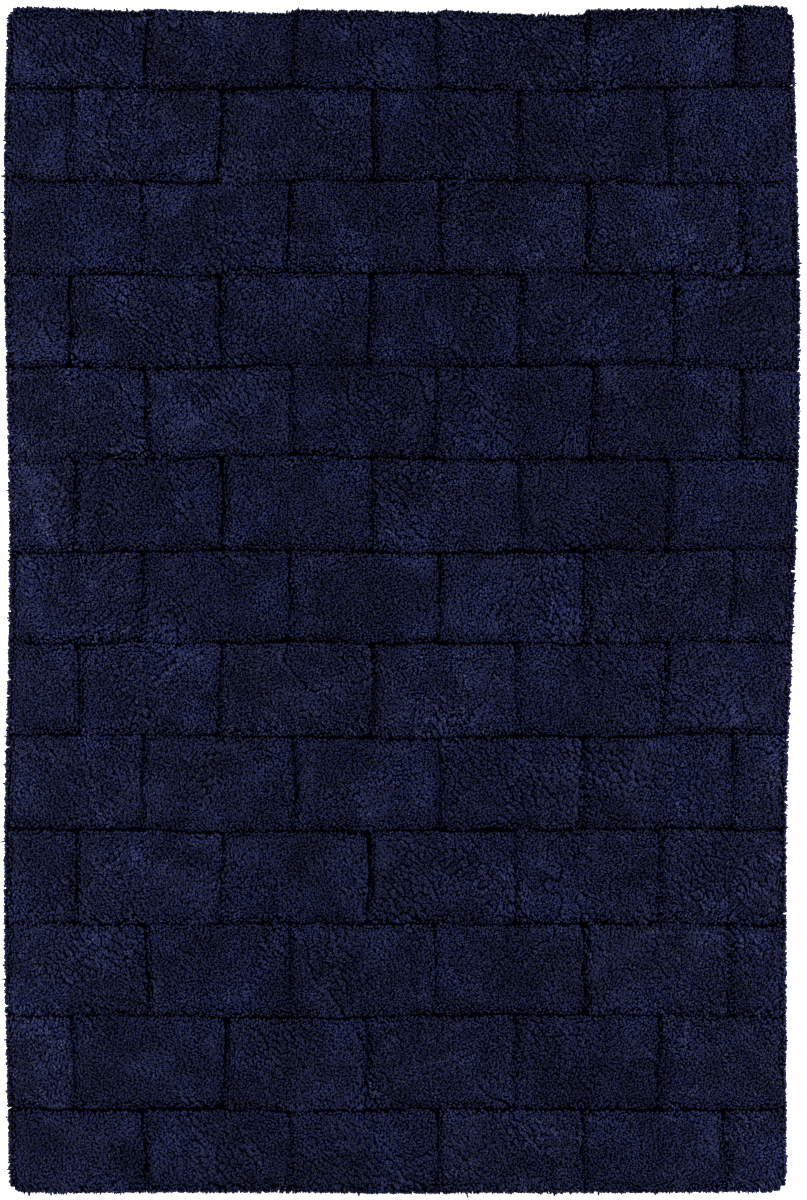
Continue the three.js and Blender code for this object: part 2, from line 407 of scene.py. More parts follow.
def slab(x, y, low, high, uv_box=(0.0, 0.0, 1.0, 1.0), top_share=0.5, **values):
    """A closed body between two height fields on one grid. x and y rise with the indices.

    Its top takes top_share of its box in the map, and its underside the rest.
    """
    nx, ny = x.shape
    top = np.arange(nx * ny).reshape(nx, ny)
    under = top + nx * ny
    points = np.concatenate([
        np.column_stack([x.ravel(), y.ravel(), high.ravel()]),
        np.column_stack([x.ravel(), y.ravel(), low.ravel()]),
    ])

    def quads(*corners):
        return np.stack([c.ravel() for c in corners], axis=1)

    faces = np.concatenate([
        quads(top[:-1, :-1], top[1:, :-1], top[1:, 1:], top[:-1, 1:]),
        quads(under[:-1, 1:], under[1:, 1:], under[1:, :-1], under[:-1, :-1]),
        quads(under[0, 1:], under[0, :-1], top[0, :-1], top[0, 1:]),
        quads(under[-1, :-1], under[-1, 1:], top[-1, 1:], top[-1, :-1]),
        quads(under[:-1, 0], under[1:, 0], top[1:, 0], top[:-1, 0]),
        quads(under[1:, -1], under[:-1, -1], top[:-1, -1], top[1:, -1]),
    ])
    loops = faces.ravel()
    u = (x - x.min()) / np.ptp(x)
    v = (y - y.min()) / np.ptp(y)
    under_share = 1.0 - top_share
    flat = np.concatenate([
        np.column_stack([u.ravel() * (top_share - MAP_GAP), v.ravel()]),
        np.column_stack([u.ravel() * (under_share - MAP_GAP) + top_share + MAP_GAP, v.ravel()]),
    ])
    left, bottom, right, upper = uv_box
    uv = flat[loops] * [right - left, upper - bottom] + [left, bottom]
    # a side wall has no width in plan, so it stays on its upper edge in the map
    walls = np.arange(len(faces)) >= 2 * (nx - 1) * (ny - 1)
    per_face = uv.reshape(-1, 4, 2)
    per_face[walls, :2] = per_face[walls, :1:-1]
    return part(points, np.full(len(faces), 4), loops, per_face.reshape(-1, 2), **values)


# -------- yarn ends

YARN_SIDES = 3
YARN_GIRTHS = (0.8, 1.0)  # at its foot and at its shoulder
YARN_UNEVEN = (0.8, 1.2)
YARN_CAP = 1.4  # from the shoulder to the tip
YARN_LOWEST_SHOULDER = 0.3  # of the yarn end's length
YARN_TWIST = 0.7  # radians from one ring to the next
YARN_BEND = 1.6  # how late along its length a yarn end leans over
YARN_MAP_TOP = 0.86  # yarn ends fill the map up to here, and the dense pile the rest
YARN_MAP_CAP = 0.7  # of a yarn end's cell in the map, below its cap
YARN_MAP_SHARE = 0.8  # of that cell, which the yarn end fills


def yarn_faces():
    """The faces of one yarn end, and where each of their corners is in its cell of the map."""
    n = YARN_SIDES
    sizes, loops, places = [n], list(range(n - 1, -1, -1)), [(0.5, 0.0)] * n
    for i in range(n):
        j = (i + 1) % n
        sizes += [4, 3]
        loops += [i, j, n + j, n + i] + [n + i, n + j, 2 * n]
        left, right, cap = i / n, (i + 1) / n, YARN_MAP_CAP
        places += [(left, 0.0), (right, 0.0), (right, cap), (left, cap)]
        places += [(left, cap), (right, cap), ((left + right) / 2, 1.0)]
    return np.array(sizes), np.array(loops), np.array(places)


def yarn_ends(roots, tips, girths, tones, rng):
    """Closed, bent and slightly twisted yarn ends from their roots to their tips."""
    count, n = len(roots), YARN_SIDES
    across = tips - roots
    start = rng.uniform(0.0, 2 * math.pi, count)
    shoulder = 1.0 - YARN_CAP / np.linalg.norm(across, axis=1)
    shoulder = np.maximum(shoulder, YARN_LOWEST_SHOULDER)
    rings = []
    for k, t in enumerate((np.zeros(count), shoulder)):
        bent = t ** YARN_BEND
        middle = roots + across * np.column_stack([bent, bent, t])
        slope = YARN_BEND * t ** (YARN_BEND - 1.0)
        along = across * np.column_stack([slope, slope, np.ones(count)])
        along = along / np.linalg.norm(along, axis=1)[:, None]
        one = np.column_stack([np.cos(start), np.sin(start), np.zeros(count)])
        one = one - along * (one * along).sum(axis=1)[:, None]
        one = one / np.linalg.norm(one, axis=1)[:, None]
        two = np.cross(along, one)
        for i in range(n):
            angle = 2 * math.pi * i / n + YARN_TWIST * k
            reach = (girths * YARN_GIRTHS[k] * rng.uniform(*YARN_UNEVEN, count))[:, None]
            rings.append(middle + reach * (math.cos(angle) * one + math.sin(angle) * two))
    points = np.stack(rings + [tips], axis=1)
    sizes, loops, places = yarn_faces()
    starts = np.arange(count) * (2 * n + 1)
    cells = math.ceil(math.sqrt(count))
    cell = np.column_stack([np.arange(count) % cells, np.arange(count) // cells])
    uv = cell[:, None, :] + (1.0 - YARN_MAP_SHARE) / 2 + YARN_MAP_SHARE * places[None]
    uv = uv / cells * [1.0, YARN_MAP_TOP]
    low, high = np.zeros(count), np.ones(count)
    return part(
        points.reshape(-1, 3),
        np.tile(sizes, count),
        (loops[None] + starts[:, None]).ravel(),
        uv.reshape(-1, 2),
        # rise runs from 0 at the root to 1 at the tip; the pile's material paints shade towards the
        # roots and a lighter, greyer highlight at the tips from it
        rise=np.column_stack([low] * n + [shoulder] * n + [high]).ravel(),
        tone=np.repeat(tones, 2 * n + 1),
    )


# -------- pile

DENSE_STEP_X = 3.2
DENSE_ROWS = 22
DENSE_INSET = 0.6  # from the cloth's edge to the dense pile's
COURSE_SPLIT = 0.1  # from the line between two courses to each one's dense pile
DENSE_RISE = 0.35  # how far up a yarn end's colours the dense pile is, and so how much of the painted root shade it takes
DENSE_RISE_RUN = 4.0  # from a brick's edge, so that the dense pile is painted darker, as shade, towards the grooves
DENSE_TOP_SHARE = 0.9  # of the dense pile's part of the map

YARN_PITCH = 1.7
YARN_SCATTER = 0.55
YARN_GIRTH = (0.8, 1.22)
YARN_MARGIN = 4.0  # how far over a course's lines yarn is looked for
YARN_SUNK = 1.2  # of each yarn end into the dense pile
TIP_SCATTER = 0.6
TOP_SCATTER = 0.35
TALLEST = 1.2  # how much tall yarn may lean, next to usual yarn
EDGE_HOLD = 0.4  # how much yarn ends at a brick's edge lean, next to inner ones
EDGE_HOLD_RUN = 4.0

CLUMP_PULL = 0.65  # of the tips towards the middle of their clump
CLUMP_RISE = 1.5
CLUMP_RISE_MIDDLE = 0.6
CLUMP_CHOICE = [(1.0, 70.0, 54)]  # which of the two turns a clump has
CLUMP_CHOICE_AT = -0.2
ROUGH_MIDDLE = 0.4  # how clumped the pile is, from 0 to 1
ROUGH_WANDER = [(0.8, 26.0, 52), (0.4, 90.0, 53)]

OUTER_STRIP = 8.0  # inside the mat's edge
OUTER_SPILL = 2.6  # how far the tips hang over the edge there
GROOVE_SPILL = 1.0
GROOVE_SPILL_NAP = 1.5  # more with the nap, and less against it
SPILL_RUN = 8.0

DARKEST_TONE = 0.15
CLUMP_TONE = 0.42
YARN_TONE = 0.30
BRICK_TONE = 0.09
FRINGE_TONES = (0.2, 0.8)

FRINGE_PITCH = 1.35
FRINGE_CLUMP = 6.0
FRINGE_CLUMP_SHIFT = 0.35  # of a clump along the edge, at most, next to its size
FRINGE_CLUMP_REACH = 0.3
FRINGE_CLUMP_PULL = 0.25
FRINGE_REACH_SCATTER = 0.22
FRINGE_SWAY = 0.7
FRINGE_ROOT_IN = (0.3, 1.6)
FRINGE_ROOT_UP = 0.4
STRAY_SHARE = 0.015  # of the outermost yarn ends, which stick out further
STRAY_REACH = (0.8, 2.6)
# how high the tips of the pile's outermost yarn ends are, and how far out they reach
FRINGE_LAYERS = [((2.6, 4.5), 4.0), ((4.5, 7.0), 4.6), ((7.0, 9.5), 4.8), ((9.5, 12.0), 4.6),
                 ((11.5, 14.5), 4.0)]


def dense_pile(course):
    """The closed lower body of a course, up to where the yarn ends stand out one by one."""
    x_low, x_high = CLOTH_LOW[0] + DENSE_INSET, CLOTH_HIGH[0] - DENSE_INSET
    columns = np.linspace(x_low, x_high, round((x_high - x_low) / DENSE_STEP_X))
    rows = np.linspace(0.0, 1.0, DENSE_ROWS)
    back = course_line(course - 1, columns) - COURSE_SPLIT
    front = course_line(course, columns) + COURSE_SPLIT
    if course == 1:
        back = np.full_like(columns, CLOTH_HIGH[1] - DENSE_INSET)
    if course == COURSES:
        front = np.full_like(columns, CLOTH_LOW[1] + DENSE_INSET)
    x = np.repeat(columns[:, None], DENSE_ROWS, axis=1)
    y = front[:, None] + (back - front)[:, None] * rows[None, :]
    inside, out_x, out_y, _ = in_brick(course, x.ravel(), y.ravel())
    high = dense_height(inside, out_x, out_y, x.ravel(), y.ravel()).reshape(x.shape)
    low = np.full(x.shape, PILE_BOTTOM)
    # painted shade: the dense pile's top is darkest in the grooves and lighter inside each brick
    rise = DENSE_RISE * smooth(inside / DENSE_RISE_RUN)
    values = {"rise": np.concatenate([rise, np.zeros(x.size)]), "tone": np.full(2 * x.size, 0.5)}
    uv_box = (0.0, YARN_MAP_TOP + 2 * MAP_GAP, 1.0, 1.0)
    return slab(x, y, low, high, uv_box, DENSE_TOP_SHARE, **values)


def yarn_places(course, rng):
    """Staggered and scattered places for yarn ends over one course and a little beyond."""
    y_low = LINES[course] - YARN_MARGIN
    y_high = LINES[course - 1] + YARN_MARGIN
    x, y = np.meshgrid(
        np.arange(-HALF_WIDTH, HALF_WIDTH, YARN_PITCH),
        np.arange(y_low, y_high, YARN_PITCH),
        indexing="ij",
    )
    y = y + (np.arange(len(x)) % 2)[:, None] * YARN_PITCH / 2
    x, y = x.ravel(), y.ravel()
    x = x + rng.uniform(-YARN_SCATTER, YARN_SCATTER, len(x))
    y = y + rng.uniform(-YARN_SCATTER, YARN_SCATTER, len(y))
    return x, y


def clumped(x, y):
    """How far each yarn end is pulled by its clump, the clump's own number, and how rough it is.

    Clumps have one of two turns, in different parts of the mat.
    """
    one, two = (clumps(x, y, turn, seed) for turn, seed in CLUMP_KINDS)
    first = wander(x, y, CLUMP_CHOICE) > CLUMP_CHOICE_AT
    to_x, to_y, own = (np.where(first, a, b) for a, b in zip(one, two))
    rough = np.clip(ROUGH_MIDDLE + wander(x, y, ROUGH_WANDER), 0.0, 1.0)
    return CLUMP_PULL * rough * to_x, CLUMP_PULL * rough * to_y, own, rough


def spilled(inside, out_x, out_y, x, y):
    """How far tips hang over the edge of their brick: most at the mat's own edge."""
    outer = np.maximum(np.abs(x) - HALF_WIDTH, np.abs(y) - HALF_LENGTH) > -OUTER_STRIP
    over_groove = GROOVE_SPILL - GROOVE_SPILL_NAP * against_nap(out_x, out_y)
    spill = np.where(outer, OUTER_SPILL, over_groove)
    return spill * (1.0 - np.clip(inside / SPILL_RUN, 0.0, 1.0)) ** 2


def standing_yarn(course, rng):
    """Roots, tips and tones of the yarn ends that stand on the dense pile of one course."""
    x, y = yarn_places(course, rng)
    inside, out_x, out_y, brick = in_brick(course, x, y)
    kept = inside >= 0.0
    x, y, inside, out_x, out_y, brick = (v[kept] for v in (x, y, inside, out_x, out_y, brick))
    count = len(x)
    lean_x, lean_y = lean(course, brick, x, y)
    pull_x, pull_y, own, rough = clumped(x, y)
    top = pile_height(inside, out_x, out_y, x, y)
    top = top + rng.normal(0.0, TOP_SCATTER, count) + CLUMP_RISE * rough * (own - CLUMP_RISE_MIDDLE)
    foot = dense_height(inside, out_x, out_y, x, y) - YARN_SUNK
    tall = np.clip((top - foot) / (TUFT_SHOWN + YARN_SUNK), 0.0, TALLEST)
    free = tall * (EDGE_HOLD + (1.0 - EDGE_HOLD) * smooth(inside / EDGE_HOLD_RUN))
    spill = spilled(inside, out_x, out_y, x, y)
    tip_x = x + (lean_x + pull_x + rng.normal(0.0, TIP_SCATTER, count)) * free + spill * out_x
    tip_y = y + (lean_y + pull_y + rng.normal(0.0, TIP_SCATTER, count)) * free + spill * out_y
    if course == 1:
        tip_y = tip_y + back_lean(x) * smooth(1.0 - (HALF_LENGTH - y) / EDGE_RUN)
    brick_tone = dice("tone", course).uniform(-BRICK_TONE, BRICK_TONE, BRICKS)[brick]
    tones = DARKEST_TONE + brick_tone + CLUMP_TONE * own
    tones = tones + YARN_TONE * rng.uniform(0.0, 1.0, count)
    return np.column_stack([x, y, foot]), np.column_stack([tip_x, tip_y, top]), tones


def fringe_along(start, end, way_out, rng):
    """Roots and tips of the outermost yarn ends along one straight stretch of the cloth."""
    start, end, way_out = map(np.array, (start, end, way_out))
    length = np.linalg.norm(end - start)
    along = (end - start) / length
    middles = np.arange(FRINGE_CLUMP / 2, length, FRINGE_CLUMP)
    shift = rng.uniform(-FRINGE_CLUMP_SHIFT, FRINGE_CLUMP_SHIFT, len(middles))
    middles = middles + shift * FRINGE_CLUMP
    clump_reach = rng.uniform(-FRINGE_CLUMP_REACH, FRINGE_CLUMP_REACH, len(middles))
    count = round(length / FRINGE_PITCH)
    roots, tips = [], []
    for heights, reach in FRINGE_LAYERS:
        place = (np.arange(count) + rng.uniform(0.0, 1.0, count)) * length / count
        clump = np.abs(place[:, None] - middles[None, :]).argmin(axis=1)
        inward = rng.uniform(*FRINGE_ROOT_IN, count)
        foot = start + along * place[:, None] - way_out * inward[:, None]
        out = reach + clump_reach[clump] + rng.normal(0.0, FRINGE_REACH_SCATTER, count)
        stray = rng.uniform(0.0, 1.0, count) < STRAY_SHARE
        out = out + stray * rng.uniform(*STRAY_REACH, count)
        if way_out[1] > 0:
            out = out + back_lean(foot[:, 0])
        sway = FRINGE_CLUMP_PULL * (middles[clump] - place) + rng.normal(0.0, FRINGE_SWAY, count)
        tip = foot + way_out * out[:, None] + along * sway[:, None]
        roots.append(np.column_stack([foot, np.full(count, PILE_BOTTOM + FRINGE_ROOT_UP)]))
        tips.append(np.column_stack([tip, rng.uniform(*heights, count)]))
    return np.concatenate(roots), np.concatenate(tips)


def fringe_yarn(course, rng):
    """Roots and tips of the outermost yarn ends along the mat's edges in one course."""
    x_low, y_low = CLOTH_LOW[:2]
    x_high, y_high = CLOTH_HIGH[:2]
    back = y_high if course == 1 else LINES[course - 1]
    front = y_low if course == COURSES else LINES[course]
    stretches = [
        ((x_low, front), (x_low, back), (-1.0, 0.0)),
        ((x_high, front), (x_high, back), (1.0, 0.0)),
    ]
    if course == 1:
        stretches.append(((x_low, y_high), (x_high, y_high), (0.0, 1.0)))
    if course == COURSES:
        stretches.append(((x_low, y_low), (x_high, y_low), (0.0, -1.0)))
    roots, tips = zip(*(fringe_along(*stretch, rng) for stretch in stretches))
    return np.concatenate(roots), np.concatenate(tips)


def make_pile(material):
    """One closed mesh for each course: dense pile, yarn ends and its part of the fringe."""
    for course in range(1, COURSES + 1):
        rng = dice("yarn", course)
        roots, tips, tones = standing_yarn(course, rng)
        outer_roots, outer_tips = fringe_yarn(course, rng)
        roots, tips = np.concatenate([roots, outer_roots]), np.concatenate([tips, outer_tips])
        tones = np.concatenate([tones, rng.uniform(*FRINGE_TONES, len(outer_roots))])
        girths = rng.uniform(*YARN_GIRTH, len(roots))
        shape = joined([dense_pile(course), yarn_ends(roots, tips, girths, tones, rng)])
        piece = make_piece(
            f"pile_{course:02d}", shape, material, [NODES[course - 1]]
        )


# -------- base cloth and latex back

CLOTH_GRID = 6.0
CLOTH_GAP = 0.02  # between the base cloth and what lies on each side of it
ROW_PITCH = 5.0  # from one row of tuft backs to the next
ROW_DEPTH = 0.35
ROW_STEPS = 4  # grid steps to a row
COAT_STEP_Y = 14.0
COAT_EDGE = 1.5  # width of the coat's thin rim
COAT_WANDER = [(0.08, 23.0, 61)]
COAT_TOP_SHARE = 0.06  # of its map: its top is hidden
LABEL_ROOM = 0.5  # from the label to the coat around it
LABEL_HEADROOM = 0.15


def grid(low, high, step_x, step_y):
    """Evenly spaced places from one corner to the other, about a step apart each way."""
    x = np.linspace(low[0], high[0], round((high[0] - low[0]) / step_x) + 1)
    y = np.linspace(low[1], high[1], round((high[1] - low[1]) / step_y) + 1)
    return np.meshgrid(x, y, indexing="ij")


def make_cloth(material):
    x, y = grid(CLOTH_LOW, CLOTH_HIGH, CLOTH_GRID, CLOTH_GRID)
    low = np.full(x.shape, CLOTH_LOW[2] + CLOTH_GAP)
    high = np.full(x.shape, CLOTH_HIGH[2] - CLOTH_GAP)
    return make_piece("woven_base", slab(x, y, low, high), material, ["base_cloth"])


def make_coat(material):
    """The latex coat, which follows the rows of tuft backs and leaves room for the label."""
    x, y = grid(COAT_LOW, COAT_HIGH, ROW_PITCH / ROW_STEPS, COAT_STEP_Y)
    row = 0.5 - 0.5 * np.cos(2 * math.pi * (x - COAT_LOW[0]) / ROW_PITCH)
    low = np.maximum(ROW_DEPTH * row + wander(x, y, COAT_WANDER), 0.0)
    rim = np.minimum(np.minimum(x - COAT_LOW[0], COAT_HIGH[0] - x),
                     np.minimum(y - COAT_LOW[1], COAT_HIGH[1] - y))
    low = low + ROW_DEPTH * (1.0 - smooth(rim / COAT_EDGE))
    over_label = (x < LABEL_HIGH[0] + LABEL_ROOM) & (y > LABEL_LOW[1] - LABEL_ROOM)
    over_label &= y < LABEL_HIGH[1] + LABEL_ROOM
    low = np.where(over_label, LABEL_HIGH[2] + LABEL_HEADROOM, low)
    high = np.full(x.shape, COAT_HIGH[2] - CLOTH_GAP)
    shape = slab(x, y, low, high, top_share=COAT_TOP_SHARE)
    return make_piece("latex_back", shape, material, ["latex_coat"])


LABEL_STEP = 1.5
LABEL_WAVE = 0.04
LABEL_WANDER = [(LABEL_WAVE, 11.0, 62)]


def make_label(material):
    """A small blank sheet of satin."""
    x, y = grid(LABEL_LOW, LABEL_HIGH, LABEL_STEP, LABEL_STEP)
    middle = (LABEL_LOW[2] + LABEL_HIGH[2]) / 2 + wander(x, y, LABEL_WANDER)
    half = (LABEL_HIGH[2] - LABEL_LOW[2]) / 2 - LABEL_WAVE
    shape = slab(x, y, middle - half, middle + half)
    return make_piece("blank_label", shape, material, ["care_label"])


# -------- hems and their seams

HEM_THICK = CLOTH_LOW[2] - CLOTH_GAP
HEM_RADIUS = (CLOTH_HIGH[2] - COAT_LOW[2]) / 2
HEM_WIDTH = 15.0
STITCH_INSET = 11.0  # from the cloth's edge to the seam
STITCH_PITCH = 3.5
STITCH_LENGTH = 3.0
STITCH_STEPS = 4  # stations along the hem for each stitch
THREAD_RADIUS = 0.2
THREAD_SIDES = 6
THREAD_END = 4.0  # of hem past each end of the seam
THREAD_MIDDLE = 0.22  # height of a stitch's middle
THREAD_DIP = 0.16  # how much further up in the cloth its ends are
# along half a stitch from its middle: how far along, and its girth there
THREAD_STATIONS = [(0.0, 1.0), (0.45, 1.0), (0.85, 0.8), (1.0, 0.3)]
STITCH_SHIFT = 0.12
STITCH_SLANT = 0.08
CHANNEL_DEPTH = 0.42  # of the channel that the seam draws into the hem
CHANNEL_WIDTH = 0.8
CHANNEL_EVEN = 0.8  # of its depth, and the rest comes and goes with the stitches
PUCKER = 0.14  # of the hem beside the seam, between one stitch and the next
PUCKER_WIDTH = 2.5
HEM_WAVE = 0.08
HEM_WAVE_SIZE = 9.0
FOLD_WAVE = 0.3  # of the turn, in and out
FOLD_WAVE_SIZE = 21.0
HEM_COLUMNS = 6  # strips that the hem is cut into in its map
MAP_CELLS = 16  # of a seam's map each way, with a stitch in each
STITCH_MAP_SHARE = 0.9  # of its cell
TUBE_MAP_EDGE = 0.03
HEM_SEED, FOLD_SEED, SEAM_SEED = 70, 80, 90
SIDES = {"left": (1, 0), "front": (0, 1), "right": (-1, 0), "back": (0, -1)}  # the way in


def tube(rings, columns=1):
    """A closed body through a row of closed sections, whose areas face back along the row."""
    count, sides = rings.shape[:2]
    index = np.arange(count * sides).reshape(count, sides)
    after = np.roll(index, -1, axis=1)
    quads = np.stack([index[:-1], index[1:], after[1:], after[:-1]], axis=-1).reshape(-1, 4)
    column = np.arange(count - 1) * columns // (count - 1)
    v_low = np.arange(count - 1) * columns / (count - 1) - column
    v_high = v_low + columns / (count - 1)
    round_low = np.arange(sides) / sides
    left = column[:, None] + TUBE_MAP_EDGE
    u_low = (left + (1.0 - 2 * TUBE_MAP_EDGE) * round_low) / columns
    u_high = (left + (1.0 - 2 * TUBE_MAP_EDGE) * (round_low + 1.0 / sides)) / columns
    low, high = (np.repeat(v[:, None], sides, axis=1) for v in (v_low, v_high))
    corners = [(u_low, low), (u_low, high), (u_high, high), (u_high, low)]
    uv = np.stack([np.stack(c, axis=-1) for c in corners], axis=2).reshape(-1, 2)
    loops = np.concatenate([quads.ravel(), index[0], index[-1, ::-1]])
    sizes = np.concatenate([np.full(len(quads), 4), [sides, sides]])
    ends = np.full((2 * sides, 2), MAP_GAP)
    return part(rings.reshape(-1, 3), sizes, loops, np.concatenate([uv, ends]))


def hem_section():
    """The hem's section, as distances in from the cloth's edge and heights."""
    # closer together at the seam and round the turn
    near_seam = [STITCH_INSET + d for d in (-2.4, -1.3, -0.6, 0.0, 0.6, 1.3, 2.4, 3.5)]
    bottom = [(u, 0.0) for u in [0.0, 2.5, 5.0, 7.0] + near_seam]
    inner = [(HEM_WIDTH, 0.3), (HEM_WIDTH, 0.7), (HEM_WIDTH - 0.3, HEM_THICK)]
    top = [(10.0, HEM_THICK), (5.0, HEM_THICK), (0.0, HEM_THICK), (0.0, 2 * HEM_RADIUS)]
    fold = [math.radians(a) for a in (115, 140, 165, 190, 215, 245)]
    fold = [(HEM_RADIUS * math.cos(a), HEM_RADIUS * (1 + math.sin(a))) for a in fold]
    return np.array(bottom + inner + top + fold)


def from_edge(side, along, inward, up):
    """Points given along one edge of the cloth, inward from it and up, as x, y and z."""
    way_in = np.array(SIDES[side], float)
    way_along = np.array([-way_in[1], way_in[0]])
    reach = CLOTH_HIGH[0] if way_in[0] else CLOTH_HIGH[1]
    plan = (inward - reach)[..., None] * way_in + along[..., None] * way_along
    return np.concatenate([plan, up[..., None]], axis=-1)


def hem_length(side):
    low, high = box_mm(f"hem_{side}")
    return high[1] - low[1] if SIDES[side][0] else high[0] - low[0]


def make_hem(side, material):
    """The cloth's edge turned under, drawn in by the seam and slightly puckered by it."""
    length = hem_length(side)
    count = round(length / STITCH_PITCH * STITCH_STEPS) + 1
    along = np.linspace(-length / 2, length / 2, count)[:, None]
    section = hem_section()
    inward = np.repeat(section[None, :, 0], count, axis=0)
    up = np.repeat(section[None, :, 1], count, axis=0)
    along = np.repeat(along, len(section), axis=1)
    number = list(SIDES).index(side)
    below = up < HEM_THICK / 2
    drawn = np.exp(-(((inward - STITCH_INSET) / CHANNEL_WIDTH) ** 2)) * below
    pulse = 0.5 - 0.5 * np.cos(2 * math.pi * along / STITCH_PITCH)
    pucker = PUCKER * pulse * np.exp(-np.abs(inward - STITCH_INSET) / PUCKER_WIDTH) * below
    wave = HEM_WAVE * (1.0 + noise(along, 3.0 * inward, HEM_WAVE_SIZE, HEM_SEED + number)) * below
    channel = CHANNEL_DEPTH * drawn * (CHANNEL_EVEN + (1.0 - CHANNEL_EVEN) * pulse)
    up = up + channel + (pucker + wave) * (1.0 - drawn)
    fold_wave = FOLD_WAVE * noise(along, 0.0 * along, FOLD_WAVE_SIZE, FOLD_SEED + number)
    inward = inward + fold_wave * (inward < 0.0)
    rings = from_edge(side, along, inward, up)
    return make_piece(
        f"hem_fold_{side}", tube(rings, HEM_COLUMNS), material, [f"hem_{side}"]
    )


def make_seam(side, material):
    """A row of stitches, each a short thread whose ends dip into the cloth."""
    length = hem_length(side) - 2 * THREAD_END
    count = int(length / STITCH_PITCH)
    rng = np.random.default_rng(SEAM_SEED + list(SIDES).index(side))
    half = np.array(THREAD_STATIONS)
    stations = np.concatenate([half[:0:-1] * [-1.0, 1.0], half])
    t, girth = stations[:, :1], THREAD_RADIUS * stations[:, 1:]
    turn = 2 * math.pi * np.arange(THREAD_SIDES)[None, :] / THREAD_SIDES
    stitches = []
    for k in range(count):
        middle = (k + 0.5 - count / 2) * STITCH_PITCH + rng.uniform(-STITCH_SHIFT, STITCH_SHIFT)
        slant = rng.uniform(-STITCH_SLANT, STITCH_SLANT)
        along = middle + t * STITCH_LENGTH / 2 + 0.0 * turn
        inward = STITCH_INSET + slant * t + girth * np.cos(turn)
        up = THREAD_MIDDLE + THREAD_DIP * np.abs(t) ** 3 + girth * np.sin(turn)
        stitch = tube(from_edge(side, along, inward, up))
        cell = np.array([k % MAP_CELLS, k // MAP_CELLS])
        place = stitch["uv"] * STITCH_MAP_SHARE + (1.0 - STITCH_MAP_SHARE) / 2
        stitch["uv"] = (place + cell) / MAP_CELLS
        stitches.append(stitch)
    return make_piece(
        f"hem_seam_{side}", joined(stitches), material, [f"hem_stitch_{side}"]
    )


def make_underside():
    """Everything but the pile: the latex coat, the label, the hems with their seams, and the base
    cloth.
    """
    weave, thread = weave_material(), thread_material()
    coat = make_coat(latex_material())
    label = make_label(label_material())
    hems, seams = [], []
    for side in SIDES:
        hem, seam = make_hem(side, weave), make_seam(side, thread)
        hems.append(hem)
        seams.append(seam)
    cloth = make_cloth(weave)


# -------- materials


def shader(name):
    material = bpy.data.materials.new(name)
    material.use_nodes = True
    tree = material.node_tree
    return material, tree, tree.nodes["Principled BSDF"]


def textured(name):
    """A new material, its tree, its surface, and places on the mat for patterns."""
    material, tree, surface = shader(name)
    return material, tree, surface, node(tree, "ShaderNodeTexCoord").outputs["Object"]


def set_values(surface, values):
    for key, value in values.items():
        surface.inputs[key].default_value = value


def node(tree, kind, inputs=None, **settings):
    made = tree.nodes.new(kind)
    for key, value in settings.items():
        setattr(made, key, value)
    for key, value in (inputs or {}).items():
        if isinstance(value, bpy.types.NodeSocket):
            tree.links.new(value, made.inputs[key])
        else:
            made.inputs[key].default_value = value
    return made


def ramp(tree, value, stops):
    made = node(tree, "ShaderNodeValToRGB", {"Fac": value})
    elements = made.color_ramp.elements
    while len(elements) < len(stops):
        elements.new(0.5)
    for element, (place, colour) in zip(elements, stops):
        element.position = place
        element.color = (*colour, 1.0)
    return made.outputs["Color"]


def times(tree, one, two):
    made = node(tree, "ShaderNodeMix", data_type="RGBA", blend_type="MULTIPLY")
    made.inputs["Factor"].default_value = 1.0
    tree.links.new(one, made.inputs["A"])
    tree.links.new(two, made.inputs["B"])
    return made.outputs["Result"]


def bands(tree, place, direction, period, distortion=0.0):
    """A soft stripe across direction, from 0 to 1, once every period metres."""
    return node(tree, "ShaderNodeTexWave", {
        "Vector": place, "Scale": math.pi / (10.0 * period), "Distortion": distortion,
        "Detail": 1.0, "Detail Scale": 2.0,
    }, wave_type="BANDS", bands_direction=direction, wave_profile="SIN").outputs["Fac"]


def speckle(tree, place, size, detail=2.0):
    return node(tree, "ShaderNodeTexNoise", {
        "Vector": place, "Scale": 1.0 / size, "Detail": detail,
    }).outputs["Fac"]


def calc(tree, operation, one, two):
    return node(tree, "ShaderNodeMath", {0: one, 1: two}, operation=operation).outputs["Value"]


def bump(tree, surface, height, distance, strength=1.0):
    made = node(tree, "ShaderNodeBump", {
        "Height": height, "Strength": strength, "Distance": distance,
    })
    tree.links.new(made.outputs["Normal"], surface.inputs["Normal"])


def coloured(tree, surface, colour):
    tree.links.new(colour, surface.inputs["Base Color"])


PATCH_SIZE = 1 / 26  # of the painted light and dark patches over the mat, which stand for the sheen and shade of the pile's lay, in metres like all below
FIBRE_SIZE = 1 / 2200
FIBRE_DEPTH = 0.0003


